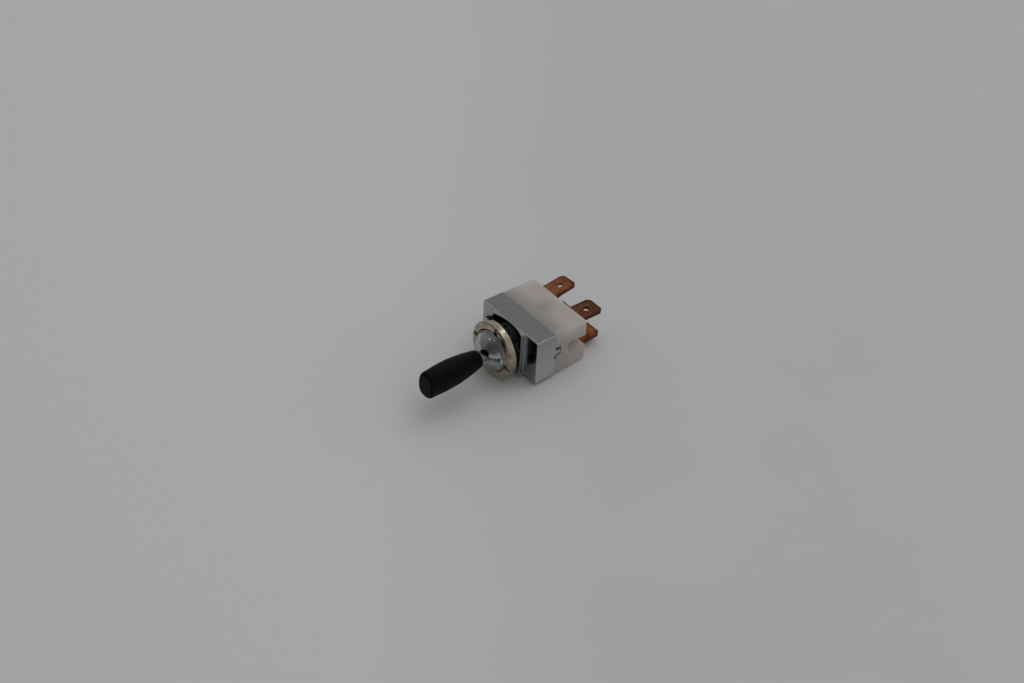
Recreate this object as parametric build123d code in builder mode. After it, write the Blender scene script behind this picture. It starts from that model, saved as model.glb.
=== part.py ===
from build123d import *
import math
import os

# Panel toggle switch, two circuits, four blade terminals.
# Frame: origin on the neck axis at the panel seat (the plane of the two
# locking ridges on the housing's front). The neck and lever point to -Y, the
# terminals to +Y, the wide face of the body looks to +Z. Millimetres.

# ---------------------------------------------------------------- dimensions
BODY_W = 23.7            # body width, X
BODY_H = 13.9            # body height, Z
FACE_Y = 1.25            # flat front face of the housing, behind the seat
METAL_Y = 7.8            # rear edge of the metal housing
REAR_Y = 18.95           # rear face of the moulded base
HOUSING_WALL = 0.9
FRONT_WALL = 1.6
EDGE_R = 0.35            # small cast edge radius
CORNER_R = 0.18          # tighter radius on the front's corners and hollow
FRONT_BREAK = 0.28       # broken edge round the front face

RIDGE_IN = 6.2           # inner edge of each ridge tip
RIDGE_OUT = 6.38         # outer edge of each ridge tip
RIDGE_FOOT = 6.5         # outer foot of each ridge, on the front face
SCOOP_R = (RIDGE_IN**2 + FACE_Y**2) / (2 * FACE_Y)   # hollow between ridges

TAB_Z0, TAB_Z1 = 0.3, 1.65   # clinch tab on each side of the housing
TAB_Y = 9.35
TAB_CORNER = 0.5
RELIEF_R = 0.45          # round relief below the tab's root
RELIEF_Z = -0.8
POCKET_Z0, POCKET_Z1 = -0.45, 2.6   # pocket in the base for the tab
POCKET_Y = 9.75
POCKET_D = 1.4           # deeper than the tab is thick

NECK_R = 5.95            # M12 threaded neck, over the crests
NECK_FRONT = -5.95       # end of the thread
DOME_BASE_R = 5.3        # shoulder where the domed nose starts
DOME_POLE = -8.95
DOME_R = (DOME_BASE_R**2 + (NECK_FRONT - DOME_POLE)**2) / (2 * (NECK_FRONT - DOME_POLE))
DOME_Y = DOME_POLE + DOME_R        # centre of the dome's sphere
NECK_BORE = 4.2
SLOT_X = 5.2             # half length of the lever slot
SLOT_Z = 0.9             # half height of the lever slot
BORE_END = -5.2         # the nose is solid in front of the bore
FLANGE_Y0 = FACE_Y + FRONT_WALL
FLANGE_Y1 = FLANGE_Y0 + 1.2
FLANGE_W = 17.0

RING_R = 8.4
RING_BORE = 6.0
RING_Y0, RING_Y1 = -5.22, -2.78
RING_SLOTS = 4
RING_SLOT_W = 1.5
RING_SLOT_D = 0.55
RING_SLOT_ANGLE = 76.0
WASHER_R = 7.9
WASHER_T = 0.6
# locking tongue of the washer: corners as angle from +X and distance from the
# neck axis, hooked to one side so that its free end stands clear of the rim
TONGUE = [(106, 7.6), (109, 8.55), (114, 9.0), (121, 9.15), (130, 9.05),
          (129.5, 8.75), (120, 8.3), (115, 7.6)]

PIVOT_Y = -0.5           # lever pivot, axis along Z
PIN_R = 0.9
LEVER_TILT = 3.5         # degrees the lever stands off the neck axis, to +X
THROW = 14.0             # degrees each side of the neck axis
HUB_R = 2.2
BLADE_X, BLADE_Z = 3.2, 1.6
TAIL_R = 2.0
TAIL_END = 5.3           # from the pivot
TAIL_BORE = 1.2
PLUNGER_R = 1.15
PLUNGER_CENTRE = 6.15    # pivot to the centre of the plunger's round nose

SLEEVE_ROOT = 9.7        # from the pivot

BLADE_TAB_W = 6.3        # quarter inch blade terminals
BLADE_TAB_T = 0.8
BLADE_TAB_X = 5.88
UPPER_Z = 4.85
LOWER_Z = -3.6
TAB_OUT = 8.25           # length past the base
HOLE_R = 0.9
TIP_X, TIP_Y = 0.9, 1.0  # chamfer of each tip corner
FOOT_Y0 = 10.4           # contact feet inside
FLOOR_Y = 11.2
UPPER_STRIP_Z = 3.2
LOWER_STRIP_Z = -2.9
CONTACT_R = 0.7
BASE_TOP_R, BASE_LOW_R = 0.8, 1.0   # rounded edges of the moulded base
SHELF_R = 1.2            # rounding of the lower tier beside the notches
UNDER_RISE = 0.7         # how far the base's underside climbs to its rear

SLIDE_X = -PLUNGER_CENTRE * math.sin(math.radians(LEVER_TILT))

os.makedirs("parts", exist_ok=True)


def save(builder, label):
    builder.part.label = label
    export_step(builder.part, f"parts/{label}.step")


# The lever's own plane set: origin at the pivot, local x across the swing,
# local y along world Z, local z out along the lever.
tilt = math.radians(LEVER_TILT)
lever_dir = Vector(math.sin(tilt), -math.cos(tilt), 0)
across = Vector(math.cos(tilt), math.sin(tilt), 0)
pivot = Vector(0, PIVOT_Y, 0)


def lever_plane(distance):
    return Plane(origin=pivot + lever_dir * distance, x_dir=across, z_dir=lever_dir)


# Plane.XZ looks to -Y: an offset of -y puts the sketch at world Y = y, with
# local x = world X and local y = world Z, extruding towards -Y.
def at_y(y):
    return Plane.XZ.offset(-y)


# ---------------------------------------------------------------- housing
with BuildPart() as housing:
    with BuildSketch(Plane.XY.offset(-BODY_H / 2)):
        with BuildLine():
            l1 = Polyline(
                (-RIDGE_IN, 0), (-RIDGE_OUT, 0), (-RIDGE_FOOT, FACE_Y),
                (-BODY_W / 2, FACE_Y), (-BODY_W / 2, METAL_Y),
                (BODY_W / 2, METAL_Y), (BODY_W / 2, FACE_Y),
                (RIDGE_FOOT, FACE_Y), (RIDGE_OUT, 0), (RIDGE_IN, 0),
            )
            ThreePointArc((RIDGE_IN, 0), (0, FACE_Y), (-RIDGE_IN, 0))
        make_face()
    extrude(amount=BODY_H)
    outer = housing.edges().filter_by(Axis.Z).filter_by(
        lambda e: abs(abs(e.center().X) - BODY_W / 2) < 0.01 and e.center().Y < FACE_Y + 0.1
    )
    fillet(outer, CORNER_R)
    long_edges = housing.edges().filter_by(Axis.Y).filter_by(
        lambda e: abs(abs(e.center().Z) - BODY_H / 2) < 0.01
    )
    fillet(long_edges, EDGE_R)
    # broken edge round the front face, the ridges' ends and the hollow
    front = housing.edges().filter_by(
        lambda e: abs(abs(e.center().Z) - BODY_H / 2) < 0.01 and e.center().Y < METAL_Y - 0.5
        and e.length > 3
    ).filter_by(Axis.Y, reverse=True)
    chamfer(front, FRONT_BREAK)
    # open shell behind the front wall
    with BuildSketch(at_y(METAL_Y)):
        Rectangle(BODY_W - 2 * HOUSING_WALL, BODY_H - 2 * HOUSING_WALL)
    extrude(amount=METAL_Y - FLANGE_Y0, mode=Mode.SUBTRACT)
    # hole for the neck
    with BuildSketch(at_y(FLANGE_Y0 + 1)):
        Circle(NECK_R)
    extrude(amount=FLANGE_Y0 + 2, mode=Mode.SUBTRACT)
    # one clinch tab on each side, rounded at its end
    for side in (-1, 1):
        with BuildSketch(Plane.YZ.offset(side * (BODY_W / 2 - HOUSING_WALL / 2))):
            with Locations(((METAL_Y - 0.6 + TAB_Y) / 2, (TAB_Z0 + TAB_Z1) / 2)):
                Rectangle(TAB_Y - METAL_Y + 0.6, TAB_Z1 - TAB_Z0)
        extrude(amount=HOUSING_WALL / 2, both=True)
    tab_ends = housing.edges().filter_by(Axis.X).filter_by(lambda e: e.center().Y > TAB_Y - 0.01)
    fillet(tab_ends, TAB_CORNER)
    for side in (-1, 1):
        with BuildSketch(Plane.YZ.offset(side * (BODY_W / 2 - HOUSING_WALL / 2))):
            with Locations((METAL_Y, RELIEF_Z)):
                Circle(RELIEF_R)
        extrude(amount=HOUSING_WALL / 2 + 0.05, both=True, mode=Mode.SUBTRACT)
save(housing, "housing")

# ---------------------------------------------------------------- threaded neck
with BuildPart() as threaded_neck:
    with BuildSketch(Plane.XY):
        with BuildLine():
            Polyline(
                (0, FLANGE_Y0), (NECK_R, FLANGE_Y0), (NECK_R, NECK_FRONT + 0.3),
                (NECK_R - 0.3, NECK_FRONT), (DOME_BASE_R, NECK_FRONT),
            )
            a0 = math.atan2(DOME_Y - NECK_FRONT, DOME_BASE_R)
            am = (a0 + math.pi / 2) / 2
            ThreePointArc(
                (DOME_BASE_R, NECK_FRONT),
                (DOME_R * math.cos(am), DOME_Y - DOME_R * math.sin(am)),
                (0, DOME_POLE),
            )
            Line((0, DOME_POLE), (0, FLANGE_Y0))
        make_face()
    revolve(axis=Axis.Y)
    # flange that holds the neck behind the front wall
    with BuildSketch(at_y(FLANGE_Y1)):
        RectangleRounded(FLANGE_W, BODY_H - 2 * HOUSING_WALL - 0.2, 1.0)
    extrude(amount=FLANGE_Y1 - FLANGE_Y0)
    # room for the lever: a round bore, closed by the solid nose
    with BuildSketch(at_y(FLANGE_Y1 + 1)):
        Circle(NECK_BORE)
    extrude(amount=FLANGE_Y1 + 1 - BORE_END, mode=Mode.SUBTRACT)
    # slot across the nose
    with BuildSketch(at_y(BORE_END + 0.05)):
        Rectangle(2 * SLOT_X, 2 * SLOT_Z)
    extrude(amount=6, mode=Mode.SUBTRACT)
    # cross hole for the pivot pin
    with BuildSketch(Plane.XY.offset(-NECK_R - 1)):
        with Locations((0, PIVOT_Y)):
            Circle(PIN_R)
    extrude(amount=2 * NECK_R + 2, mode=Mode.SUBTRACT)
save(threaded_neck, "threaded_neck")

# ---------------------------------------------------------------- pivot pin
PIN_L = 2 * NECK_R - 1.2     # its ends stay below the thread
with BuildPart() as pivot_pin:
    with BuildSketch(Plane.XY.offset(-PIN_L / 2)):
        with Locations((0, PIVOT_Y)):
            Circle(PIN_R)
    extrude(amount=PIN_L)
    chamfer(pivot_pin.edges().filter_by(GeomType.CIRCLE), 0.15)
save(pivot_pin, "pivot_pin")

# ---------------------------------------------------------------- ring nut
with BuildPart() as ring_nut:
    with BuildSketch(at_y(RING_Y1)):
        Circle(RING_R)
        Circle(RING_BORE, mode=Mode.SUBTRACT)
    extrude(amount=RING_Y1 - RING_Y0)
    rim = ring_nut.edges().filter_by(GeomType.CIRCLE).filter_by(lambda e: e.radius > RING_R - 0.1)
    fillet(rim.sort_by(Axis.Y)[0], 0.75)
    fillet(ring_nut.edges().filter_by(GeomType.CIRCLE).filter_by(
        lambda e: e.radius > RING_R - 0.1).sort_by(Axis.Y)[-1], 0.25)
    chamfer(ring_nut.edges().filter_by(GeomType.CIRCLE).filter_by(
        lambda e: abs(e.radius - RING_BORE) < 0.01).sort_by(Axis.Y)[0], 0.4)
    # spanner slots in the front
    for i in range(RING_SLOTS):
        a = RING_SLOT_ANGLE + i * 360 / RING_SLOTS
        with BuildSketch(at_y(RING_Y0 + RING_SLOT_D)):
            with Locations((7.5 * math.cos(math.radians(a)), 7.5 * math.sin(math.radians(a)))):
                Rectangle(4.4, RING_SLOT_W, rotation=a)
        extrude(amount=RING_SLOT_D + 1, mode=Mode.SUBTRACT)
save(ring_nut, "ring_nut")

# ---------------------------------------------------------------- panel washer
# Thin washer behind the ring nut, with one locking tongue past its rim.
with BuildPart() as panel_washer:
    with BuildSketch(at_y(RING_Y1 + WASHER_T)):
        Circle(WASHER_R)
        with BuildLine():
            Polyline(*[
                (r * math.cos(math.radians(a)), r * math.sin(math.radians(a)))
                for a, r in TONGUE + TONGUE[:1]
            ])
        make_face()
        Circle(RING_BORE + 0.05, mode=Mode.SUBTRACT)
    extrude(amount=WASHER_T)
save(panel_washer, "panel_washer")

# ---------------------------------------------------------------- lever
# One casting: pivot barrel, flat blade through the slot, bored tail.
with BuildPart() as lever_shank:
    with BuildSketch(Plane.XY.offset(-3.2)):
        with Locations((0, PIVOT_Y)):
            Circle(HUB_R)
    extrude(amount=6.4)
    with BuildSketch(lever_plane(0)):
        Rectangle(BLADE_X, BLADE_Z)
    extrude(amount=SLEEVE_ROOT + 13.0)
    with BuildSketch(lever_plane(-TAIL_END)):
        Circle(TAIL_R)
    extrude(amount=TAIL_END)
    with BuildSketch(lever_plane(-TAIL_END - 1)):
        Circle(TAIL_BORE)
    extrude(amount=TAIL_END + 1 - 1.75, mode=Mode.SUBTRACT)
    with BuildSketch(Plane.XY.offset(-4)):
        with Locations((0, PIVOT_Y)):
            Circle(PIN_R + 0.05)
    extrude(amount=8, mode=Mode.SUBTRACT)
save(lever_shank, "lever_shank")

# Moulded grip: round at its root, growing to a rounded paddle that is taller
# (Z) than it is thick (the swing direction), with a rounded tip.
# Rows: distance from the root, half thickness, half height, section fullness.
GRIP_ROWS = [
    (0.0, 2.44, 2.45, 2.02),
    (2.7, 2.94, 3.02, 2.1),
    (5.9, 3.28, 3.52, 2.2),
    (9.3, 3.42, 3.88, 2.35),
    (12.8, 3.27, 4.02, 2.5),
    (16.4, 3.00, 4.00, 2.5),
    (18.8, 2.84, 3.92, 2.5),
]
GRIP_STEP = 17.2 / 11
GRIP_STEPS = 11          # even spacing keeps the loft fair
ROOT_STEP = 0.12
ROOT_SHARES = (0.89, 0.95, 0.985, 1.0)               # rounding of the root
TIP_STEP = 0.24
TIP_SHARES = (1.0, 0.997, 0.985, 0.96, 0.91, 0.82)   # rounding of the tip's rim


def grip_row(s):
    """Half thickness, half height and fullness at s, by smooth cubics."""
    rows = GRIP_ROWS
    i = max(k for k in range(len(rows) - 1) if rows[k][0] <= s + 1e-9)

    def slope(k, c):
        lo, hi = max(k - 1, 0), min(k + 1, len(rows) - 1)
        return (rows[hi][c] - rows[lo][c]) / (rows[hi][0] - rows[lo][0])

    h = rows[i + 1][0] - rows[i][0]
    t = (s - rows[i][0]) / h
    out = []
    for c in (1, 2, 3):
        out.append(
            (2 * t**3 - 3 * t**2 + 1) * rows[i][c] + (t**3 - 2 * t**2 + t) * h * slope(i, c)
            + (-2 * t**3 + 3 * t**2) * rows[i + 1][c] + (t**3 - t**2) * h * slope(i + 1, c)
        )
    return out


def grip_section(s, a, b, e):
    """Superellipse of half sizes a, b on the lever's axis."""
    with BuildSketch(lever_plane(SLEEVE_ROOT + s)) as section:
        with BuildLine():
            pts = []
            for k in range(24):
                t = 2 * math.pi * k / 24
                c, sn = math.cos(t), math.sin(t)
                pts.append((
                    a * math.copysign(abs(c) ** (2 / e), c),
                    b * math.copysign(abs(sn) ** (2 / e), sn),
                ))
            Spline(pts, periodic=True)
        make_face()
    return section.sketch


body_at = ROOT_STEP * (len(ROOT_SHARES) - 1)
tip_at = body_at + GRIP_STEP * GRIP_STEPS
root_a, root_b, root_e = grip_row(body_at)
tip_a, tip_b, tip_e = grip_row(tip_at)
root_rows = [
    grip_section(ROOT_STEP * k, root_a * f, root_b * f, root_e)
    for k, f in enumerate(ROOT_SHARES)
]
grip_rows = [
    grip_section(body_at + GRIP_STEP * k, *grip_row(body_at + GRIP_STEP * k))
    for k in range(GRIP_STEPS + 1)
]
tip_rows = [
    grip_section(tip_at + TIP_STEP * k, tip_a * f, tip_b * f, tip_e)
    for k, f in enumerate(TIP_SHARES)
]
with BuildPart() as lever_grip:
    loft(root_rows)
    loft(grip_rows)
    loft(tip_rows)
    # pocket filled by the metal blade
    with BuildSketch(lever_plane(SLEEVE_ROOT - 0.5)):
        Rectangle(BLADE_X + 0.02, BLADE_Z + 0.02)
    extrude(amount=13.51, mode=Mode.SUBTRACT)
save(lever_grip, "lever_grip")

# ---------------------------------------------------------------- detent
with BuildPart() as detent_plunger:
    with BuildSketch(lever_plane(-PLUNGER_CENTRE)):
        Circle(PLUNGER_R)
    extrude(amount=PLUNGER_CENTRE - 3.6)
    nose_at = pivot - lever_dir * PLUNGER_CENTRE
    with Locations(Location(nose_at)):
        Sphere(PLUNGER_R)
save(detent_plunger, "detent_plunger")


def coil(name, plane_at, radius, wire, length, turns):
    """Compression spring standing on plane_at, along its normal."""
    with BuildPart() as spring:
        path = plane_at.offset(wire).location * Helix(
            pitch=(length - 2 * wire) / turns, height=length - 2 * wire, radius=radius
        )
        with BuildSketch(Plane(origin=path @ 0, z_dir=path % 0)):
            Circle(wire)
        sweep(path=path, is_frenet=True)
    save(spring, name)


coil("detent_spring", lever_plane(-3.58), 0.9, 0.14, 1.82, 4)

# Fixed cam that the plunger's nose rides on: a hollow arc about the pivot
# with three shallow seats.
CAM_R = PLUNGER_CENTRE + PLUNGER_R + 0.12
with BuildPart() as detent_cam:
    with BuildSketch(Plane.XY.offset(-1.3)):
        with Locations((0, (6.6 + FLOOR_Y) / 2)):
            Rectangle(7.2, FLOOR_Y - 6.6)
        with Locations((0, PIVOT_Y)):
            Circle(CAM_R, mode=Mode.SUBTRACT)
        for seat in (-THROW, 0, THROW):
            a = math.radians(seat)
            d = PLUNGER_CENTRE + 0.22
            with Locations((d * math.sin(a), PIVOT_Y + d * math.cos(a))):
                Circle(PLUNGER_R + 0.12, mode=Mode.SUBTRACT)
    extrude(amount=2.6)
    # root peg pressed into the base
    with BuildSketch(at_y(FLOOR_Y + 2.0)):
        Rectangle(3.0, 1.6)
    extrude(amount=2.2)
save(detent_cam, "detent_cam")

# ---------------------------------------------------------------- slide
# Insulating slide driven by the lever's tail: a front plate with a window for
# the plunger, and a block above and below that carries one bridge each.
with BuildPart() as contact_slide:
    with BuildSketch(at_y(6.5)):
        with Locations((SLIDE_X, 0)):
            Rectangle(9.0, 10.2)
            Rectangle(2 * (PLUNGER_R + 0.17), 2 * (PLUNGER_R + 0.17), mode=Mode.SUBTRACT)
    extrude(amount=0.95)
    for z0, z1 in ((1.6, 5.1), (-5.1, -1.6)):
        with BuildSketch(at_y(8.5)):
            with Locations((SLIDE_X, (z0 + z1) / 2)):
                Rectangle(9.0, z1 - z0)
        extrude(amount=2.1)
    for z in (UPPER_STRIP_Z, LOWER_STRIP_Z):
        # spring pocket with a centre peg
        with BuildSketch(at_y(8.5)):
            with Locations((SLIDE_X, z)):
                Circle(1.25)
                Circle(0.45, mode=Mode.SUBTRACT)
        extrude(amount=1.5, mode=Mode.SUBTRACT)
        with BuildSketch(at_y(9.45)):
            with Locations((SLIDE_X, z)):
                Circle(0.45)
        extrude(amount=1.0)
save(contact_slide, "contact_slide")

for name, z in (("upper_bridge_spring", UPPER_STRIP_Z), ("lower_bridge_spring", LOWER_STRIP_Z)):
    coil(name, Plane(origin=(SLIDE_X, 7.02, z), x_dir=(1, 0, 0), z_dir=(0, 1, 0)), 0.85, 0.15, 1.94, 4)

for name, z in (("upper_bridge", UPPER_STRIP_Z), ("lower_bridge", LOWER_STRIP_Z)):
    with BuildPart() as bridge:
        with BuildSketch(at_y(9.35)):
            with Locations((SLIDE_X, z)):
                RectangleRounded(12.0, 2.0, 0.4)
                Circle(0.55, mode=Mode.SUBTRACT)
                with Locations((-5, 0), (5, 0)):
                    Circle(0.4, mode=Mode.SUBTRACT)
        extrude(amount=0.35)
    save(bridge, name)
    with BuildPart() as tips:
        with BuildSketch(at_y(9.85)):
            with Locations((SLIDE_X - 5, z), (SLIDE_X + 5, z)):
                Circle(CONTACT_R)
        extrude(amount=0.5)
        with BuildSketch(at_y(9.35)):
            with Locations((SLIDE_X - 5, z), (SLIDE_X + 5, z)):
                Circle(0.4)
        extrude(amount=0.35)
        outer_rim = tips.edges().filter_by(GeomType.CIRCLE).filter_by(
            lambda e: abs(e.radius - CONTACT_R) < 0.01 and e.center().Y > 9.8)
        fillet(outer_rim, 0.12)
    save(tips, name + "_contacts")

# ---------------------------------------------------------------- terminals
# Each is one bent strip: a foot on the base's floor that carries a contact,
# then a blade out through the base. bend is how far the blade has been bent
# up past the base and roll how far it has been twisted, in degrees; hole is
# the distance from the tip to the hole's centre.
TERMINALS = [
    # name, X centre, Z, side of foot, contact X, contact Z, bend, roll, length, hole
    ("upper_left_terminal", -BLADE_TAB_X, UPPER_Z, -1, -6.5, UPPER_STRIP_Z, 9.0, 7.0, TAB_OUT, 3.5),
    ("upper_right_terminal", BLADE_TAB_X, UPPER_Z, -1, 3.5, UPPER_STRIP_Z, 0.0, 0.0, TAB_OUT - 0.3, 3.6),
    ("lower_left_terminal", -BLADE_TAB_X, LOWER_Z, 1, -3.5, LOWER_STRIP_Z, 2.0, 0.0, TAB_OUT + 0.2, 3.35),
    ("lower_right_terminal", BLADE_TAB_X, LOWER_Z, 1, 6.5, LOWER_STRIP_Z, 6.0, 0.0, TAB_OUT - 0.7, 3.55),
]
T2 = BLADE_TAB_T / 2
TWIST_L = 1.4            # length of strip that takes up the twist
for name, x, z, side, cx, cz, bend, roll, reach, hole in TERMINALS:
    b = math.radians(bend)
    y_bend = REAR_Y + 0.5
    out = reach - 0.5
    tip = (y_bend + out * math.cos(b), z + out * math.sin(b))
    # a twisted blade is drawn flat as far as the start of its twist
    flat = 0.4 if roll else out
    end = (y_bend + flat * math.cos(b), z + flat * math.sin(b))
    # offset points of the bent strip, seen along X
    half = math.tan(b / 2) * T2
    foot_end = z + side * (2.1 if side > 0 else 2.45)
    with BuildPart() as terminal:
        with BuildSketch(Plane.YZ.offset(x - BLADE_TAB_W / 2)):
            with BuildLine():
                Polyline(
                    (FOOT_Y0, foot_end),
                    (FOOT_Y0, z - side * T2),
                    (y_bend + side * half, z - side * T2),
                    (end[0] + side * T2 * math.sin(b), end[1] - side * T2 * math.cos(b)),
                    (end[0] - side * T2 * math.sin(b), end[1] + side * T2 * math.cos(b)),
                    (y_bend - side * half, z + side * T2),
                    (FLOOR_Y, z + side * T2),
                    (FLOOR_Y, foot_end),
                    (FOOT_Y0, foot_end),
                )
            make_face()
        extrude(amount=BLADE_TAB_W)
        along = Vector(0, math.cos(b), math.sin(b))
        up = Vector(0, -math.sin(b), math.cos(b))
        right = Vector(1, 0, 0)
        if roll:
            # raised on the side nearer the body's middle
            r = math.radians(roll)
            rolled = right * math.cos(r) + up * math.sin(r)
            start = Vector(x, end[0], end[1])
            sections = []
            for step, x_dir in ((0, right), (TWIST_L, rolled)):
                with BuildSketch(Plane(origin=start + along * step, x_dir=x_dir, z_dir=along)) as cut:
                    Rectangle(BLADE_TAB_W, BLADE_TAB_T)
                sections.append(cut.sketch)
            loft(sections, ruled=True)
            with BuildSketch(Plane(origin=start + along * TWIST_L, x_dir=rolled, z_dir=along)):
                Rectangle(BLADE_TAB_W, BLADE_TAB_T)
            extrude(amount=out - flat - TWIST_L)
            up = up * math.cos(r) - right * math.sin(r)
            right = rolled
        # hole and chamfered tip, cut square to the blade
        blade = Plane(origin=(x, tip[0], tip[1]), x_dir=right, z_dir=up)
        with BuildSketch(blade.offset(-1)):
            with Locations((0, -hole)):
                Circle(HOLE_R)
            for s in (-1, 1):
                with BuildLine():
                    Polyline(
                        (s * (BLADE_TAB_W / 2 - TIP_X), 0.5), (s * (BLADE_TAB_W / 2 - TIP_X), 0),
                        (s * BLADE_TAB_W / 2, -TIP_Y), (s * (BLADE_TAB_W / 2 + 1), -TIP_Y),
                        (s * (BLADE_TAB_W / 2 + 1), 0.5), (s * (BLADE_TAB_W / 2 - TIP_X), 0.5),
                    )
                make_face()
        extrude(amount=2, mode=Mode.SUBTRACT)
        # rivet hole of the contact
        with BuildSketch(at_y(FLOOR_Y + 0.5)):
            with Locations((cx, cz)):
                Circle(0.4)
        extrude(amount=2, mode=Mode.SUBTRACT)
    save(terminal, name)

# silver contacts riveted in the four feet
with BuildPart() as fixed_contacts:
    for name, x, z, side, cx, cz, *rest in TERMINALS:
        with BuildSketch(at_y(FOOT_Y0)):
            with Locations((cx, cz)):
                Circle(CONTACT_R)
        extrude(amount=0.5)
        with BuildSketch(at_y(FLOOR_Y)):
            with Locations((cx, cz)):
                Circle(0.4)
        extrude(amount=FLOOR_Y - FOOT_Y0)
save(fixed_contacts, "fixed_contacts")

# ---------------------------------------------------------------- moulded base
BX, BZ = BODY_W / 2, BODY_H / 2
with BuildPart() as terminal_base:
    with BuildSketch(Plane.YZ.offset(-BX)):
        with BuildLine():
            Polyline(
                (METAL_Y, -BZ), (METAL_Y, BZ), (REAR_Y, BZ), (REAR_Y, -BZ + UNDER_RISE),
                (METAL_Y, -BZ),
            )
        make_face()
    extrude(amount=BODY_W)
    corner = terminal_base.edges().filter_by(Axis.Z).filter_by(lambda e: e.center().Y > REAR_Y - 0.1)
    fillet(corner, 1.1)
    fillet(terminal_base.edges().filter_by(
        lambda e: e.center().Z > BZ - 0.01 and e.center().Y > METAL_Y + 0.1), BASE_TOP_R)
    fillet(terminal_base.edges().filter_by(
        lambda e: e.center().Z < -BZ + UNDER_RISE + 0.01 and e.center().Y > METAL_Y + 0.1), BASE_LOW_R)
    # spigot inside the housing
    with BuildSketch(at_y(METAL_Y + 0.5)):
        Rectangle(BODY_W - 2 * HOUSING_WALL - 0.1, BODY_H - 2 * HOUSING_WALL - 0.1)
    extrude(amount=METAL_Y + 0.5 - 5.0)
    # contact chamber
    with BuildSketch(at_y(FLOOR_Y)):
        Rectangle(19.4, 10.8)
    extrude(amount=FLOOR_Y - 4.0, mode=Mode.SUBTRACT)
    # side notch between the two terminal rows, open to the side and the rear
    for s in (-1, 1):
        with BuildSketch(Plane.XY.offset(-1.0)):
            with Locations((s * (6.7 + BX + 2) / 2, (12.25 + REAR_Y + 2) / 2)):
                Rectangle(BX + 2 - 6.7, REAR_Y + 2 - 12.25)
        extrude(amount=3.3, mode=Mode.SUBTRACT)
        # the lower tier's upper rear edge is well rounded
        k = SHELF_R * (1 - math.sqrt(0.5))
        with BuildSketch(Plane.YZ.offset(s * 6.7)):
            with BuildLine():
                Polyline(
                    (REAR_Y - SHELF_R, -1.0), (REAR_Y - SHELF_R, -0.8), (REAR_Y + 0.5, -0.8),
                    (REAR_Y + 0.5, -1.0 - SHELF_R), (REAR_Y, -1.0 - SHELF_R),
                )
                ThreePointArc(
                    (REAR_Y, -1.0 - SHELF_R), (REAR_Y - k, -1.0 - k), (REAR_Y - SHELF_R, -1.0)
                )
            make_face()
        extrude(amount=s * (BX + 1 - 6.7), mode=Mode.SUBTRACT)
        # recess round the clinch tab, and a dimple under the tab's relief
        with BuildSketch(Plane.YZ.offset(s * (BX - POCKET_D / 2))):
            with Locations(((METAL_Y + POCKET_Y) / 2, (POCKET_Z0 + POCKET_Z1) / 2)):
                Rectangle(POCKET_Y - METAL_Y, POCKET_Z1 - POCKET_Z0)
            with Locations((METAL_Y, RELIEF_Z)):
                Circle(RELIEF_R + 0.05)
        extrude(amount=POCKET_D / 2 + 0.05, both=True, mode=Mode.SUBTRACT)
    # slots for the four blades
    with BuildSketch(at_y(REAR_Y + 1)):
        for name, x, z, side, cx, cz, *rest in TERMINALS:
            with Locations((x, z)):
                Rectangle(BLADE_TAB_W + 0.1, BLADE_TAB_T + 0.1)
    extrude(amount=REAR_Y + 1 - FLOOR_Y + 0.5, mode=Mode.SUBTRACT)
    # socket for the cam's peg
    with BuildSketch(at_y(FLOOR_Y + 2.0)):
        Rectangle(3.0, 1.6)
    extrude(amount=2.5, mode=Mode.SUBTRACT)
save(terminal_base, "terminal_base")

# ---------------------------------------------------------------- card
# Thin fibre card between the neck's flange and the contact chamber.
with BuildPart() as insulating_card:
    with BuildSketch(at_y(5.0)):
        Rectangle(BODY_W - 2 * HOUSING_WALL - 0.2, BODY_H - 2 * HOUSING_WALL - 0.2)
        SlotOverall(9.6, 6.0, mode=Mode.SUBTRACT)
    extrude(amount=5.0 - FLANGE_Y1)
save(insulating_card, "insulating_card")

print("slide offset", round(SLIDE_X, 3))
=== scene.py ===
import bpy, bmesh, math
from mathutils import Vector, Matrix, Euler


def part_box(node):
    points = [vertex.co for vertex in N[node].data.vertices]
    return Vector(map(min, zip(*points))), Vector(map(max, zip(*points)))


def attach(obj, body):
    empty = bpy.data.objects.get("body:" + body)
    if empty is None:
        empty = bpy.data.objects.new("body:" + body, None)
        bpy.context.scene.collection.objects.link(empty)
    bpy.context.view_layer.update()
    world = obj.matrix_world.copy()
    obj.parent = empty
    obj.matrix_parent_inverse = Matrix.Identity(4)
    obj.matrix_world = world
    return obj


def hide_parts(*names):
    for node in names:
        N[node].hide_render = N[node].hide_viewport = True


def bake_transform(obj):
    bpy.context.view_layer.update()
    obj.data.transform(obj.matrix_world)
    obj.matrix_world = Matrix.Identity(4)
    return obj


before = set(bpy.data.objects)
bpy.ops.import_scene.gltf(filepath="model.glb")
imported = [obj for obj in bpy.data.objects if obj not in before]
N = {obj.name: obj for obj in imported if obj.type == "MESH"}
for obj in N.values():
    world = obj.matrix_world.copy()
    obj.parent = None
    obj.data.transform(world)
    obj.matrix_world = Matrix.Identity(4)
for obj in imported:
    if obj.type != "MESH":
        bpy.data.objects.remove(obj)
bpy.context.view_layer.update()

# ------------------------------------------------------------------ helpers
def mat(name):
    m = bpy.data.materials.new(name)
    m.use_nodes = True
    nt = m.node_tree
    for n in list(nt.nodes):
        nt.nodes.remove(n)
    out = nt.nodes.new("ShaderNodeOutputMaterial")
    bs = nt.nodes.new("ShaderNodeBsdfPrincipled")
    nt.links.new(bs.outputs[0], out.inputs[0])
    return m, nt, bs


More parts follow.
